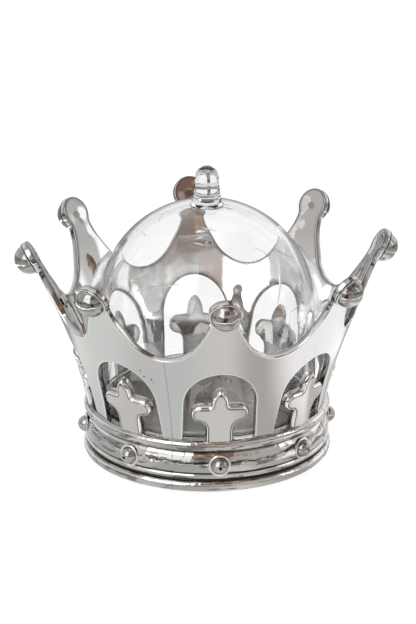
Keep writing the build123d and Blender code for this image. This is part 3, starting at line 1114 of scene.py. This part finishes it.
def table_in_plating(nodes, spot):
    """The colour that the plating sees at each place on the table and past its front edge, with
    a painted shadow beside the crown and painted light on its right and in a bright strip.
    """
    x, y, _ = nodes.part(spot)
    forward = nodes.math("MULTIPLY", y, -1.0)
    azimuth = nodes.math("ARCTAN2", x, forward)
    away = nodes.vector("LENGTH", spot)["Value"]

    colour = nodes.mix(nodes.ramp(x, *FRONT_LEFT_EDGE), FRONT_LEFT, FRONT_MIDDLE)
    colour = nodes.mix(nodes.ramp(x, *FRONT_MIDDLE_EDGE), colour, FRONT_RIGHT)
    colour = nodes.mix(nodes.ramp(x, *FRONT_RIGHT_EDGE), colour, NEAR_RIGHT)
    # Painted shadow of the crown beside it on the right
    patch = nodes.ramp(x, *SHADE_PATCH_LEFT)
    patch = nodes.math("MULTIPLY", patch, nodes.ramp(x, *SHADE_PATCH_RIGHT, 1.0, 0.0))
    patch = nodes.math("MULTIPLY", patch, nodes.ramp(y, *SHADE_PATCH_FRONT))
    colour = nodes.mix(patch, colour, SHADE_PATCH)
    colour = nodes.mix(nodes.ramp(x, *NEAR_LEFT_EDGE), NEAR_LEFT, colour)

    colour = nodes.mix(nodes.ramp(away, *OUTER_REACH), colour, OUTER)
    colour = nodes.mix(nodes.ramp(y, *BEHIND_START), colour, BEHIND)
    # A bright strip of painted light on the table, seen only in the plating
    painted_strip = nodes.ramp(away, *STRIP_START)
    painted_strip = nodes.math("MULTIPLY", painted_strip, nodes.ramp(away, *STRIP_END, 1.0, 0.0))
    shine = nodes.mix(nodes.ramp(azimuth, *STRIP_TURN), STRIP_LEFT, STRIP_RIGHT)
    colour = nodes.mix(painted_strip, colour, shine)
    far = nodes.math("MULTIPLY", nodes.ramp(away, *FAR_REACH), nodes.ramp(forward, *FAR_SIDE))
    colour = nodes.mix(far, colour, DARK)

    front, front_wide = dim_front(nodes, nodes.vector("NORMALIZE", spot)[0], azimuth)
    past = nodes.ramp(forward, TABLE_EDGE - EDGE_SOFT, TABLE_EDGE + EDGE_SOFT)
    return nodes.mix(past, colour, nodes.mix(front_wide, ROOM, front))


def floor():
    """A plain white table top. Its front edge, the dim room past it and the painted light and
    shadow on it show only in the plating.
    """
    material = bpy.data.materials.new("table_white")
    material.use_nodes = True
    material.node_tree.nodes.clear()
    nodes = Nodes(material.node_tree)
    spot = nodes.add("ShaderNodeTexCoord").outputs["Object"]
    reflected = nodes.add("ShaderNodeEmission", Color=table_in_plating(nodes, spot))
    lit = nodes.add("ShaderNodeAddShader")
    matt = nodes.add("ShaderNodeBsdfDiffuse", Color=TABLE_MATT)
    glow = nodes.add("ShaderNodeEmission", Color=TABLE_GLOW)
    for slot, shader in zip(lit.inputs, (matt, glow)):
        nodes.feed(slot, shader.outputs[0])
    nodes.add("ShaderNodeOutputMaterial", Surface=nodes.choose(mirrored(nodes), lit, reflected))

    mesh = bpy.data.meshes.new("table")
    corners = [(i * TABLE_SIZE, j * TABLE_SIZE, 0) for i, j in ((-1, -1), (1, -1), (1, 1), (-1, 1))]
    mesh.from_pydata(corners, [], [(0, 1, 2, 3)])
    mesh.materials.append(material)
    table = bpy.data.objects.new("table", mesh)
    bpy.context.scene.collection.objects.link(table)


# Lens and sensor in millimetres, the framing, and where the camera stands: azimuth and elevation in
# degrees, and its distance from a point on the crown's axis
LENS, SENSOR = 249.2, 36
SHIFT_X, SHIFT_Y = 0.0018, 0.0209
VIEW_AZIMUTH, VIEW_ELEVATION, VIEW_DISTANCE = -5.95, 21.39, 1.0
VIEW_TARGET = (0, 0, 0.030)


def camera():
    """The camera at the product-shot angle: a long lens, a little above the rim."""
    data = bpy.data.cameras.new("camera")
    data.lens = LENS
    data.sensor_width = SENSOR
    data.clip_start = 0.05
    data.shift_x = SHIFT_X
    data.shift_y = SHIFT_Y
    eye = bpy.data.objects.new("camera", data)
    azimuth, elevation = math.radians(VIEW_AZIMUTH), math.radians(VIEW_ELEVATION)
    away = Vector((
        math.sin(azimuth) * math.cos(elevation),
        -math.cos(azimuth) * math.cos(elevation),
        math.sin(elevation),
    ))
    eye.location = Vector(VIEW_TARGET) + away * VIEW_DISTANCE
    eye.rotation_euler = (-away).to_track_quat("-Z", "Y").to_euler()
    bpy.context.scene.collection.objects.link(eye)
    bpy.context.scene.camera = eye


camera()
studio()
floor()

SILVER = (0.54, 0.535, 0.525)
# Darker copies of the same plating for the band and the balls: painted shade
BAND_SILVER_SHADED = (0.47, 0.462, 0.45)
BALL_SILVER_SHADED = (0.42, 0.412, 0.40)
plating = chrome("plated_plastic", SILVER)
band_plating = chrome("plated_band", BAND_SILVER_SHADED, wave=0.25, dents=0.75, uneven=0.2, streaks=0.8)
ball_plating = chrome("plated_balls", BALL_SILVER_SHADED, wave=0.35, dents=0.9, streaks=0.5)
floor_plating = chrome("plated_floor", SILVER, dull=0.09)
jar_plastic = clear("clear_styrene", (0.988, 0.99, 0.99))
knob_plastic = clear("clear_knob", (0.86, 0.86, 0.865))

wall = crown_wall(plating)
leaves = trefoils(plating)
band = turned("base_band", band_section(), band_plating)
ridges = seams(plating)
rims = ball_rims(plating)
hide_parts("crown_shell")
beads = []
for place in range(POINTS):
    beads.append(bead(place, ball_plating))
    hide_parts(f"band_bead_{place + 1}")
for piece in (wall, leaves, band, ridges, rims, *beads):
    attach(piece, "crown")

jar = turned("bell_jar", dome_section(), jar_plastic)
handle = knob(knob_plastic)
for piece, node in ((jar, "dome_lid"), (handle, "dome_knob")):
    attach(piece, "dome")
    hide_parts(node)

looks = {f"tip_ball_{place + 1}": ball_plating for place in range(POINTS)}
looks["floor_plate"] = floor_plating
for name, look in looks.items():
    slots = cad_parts[name].data.materials
    slots.clear()
    slots.append(look)
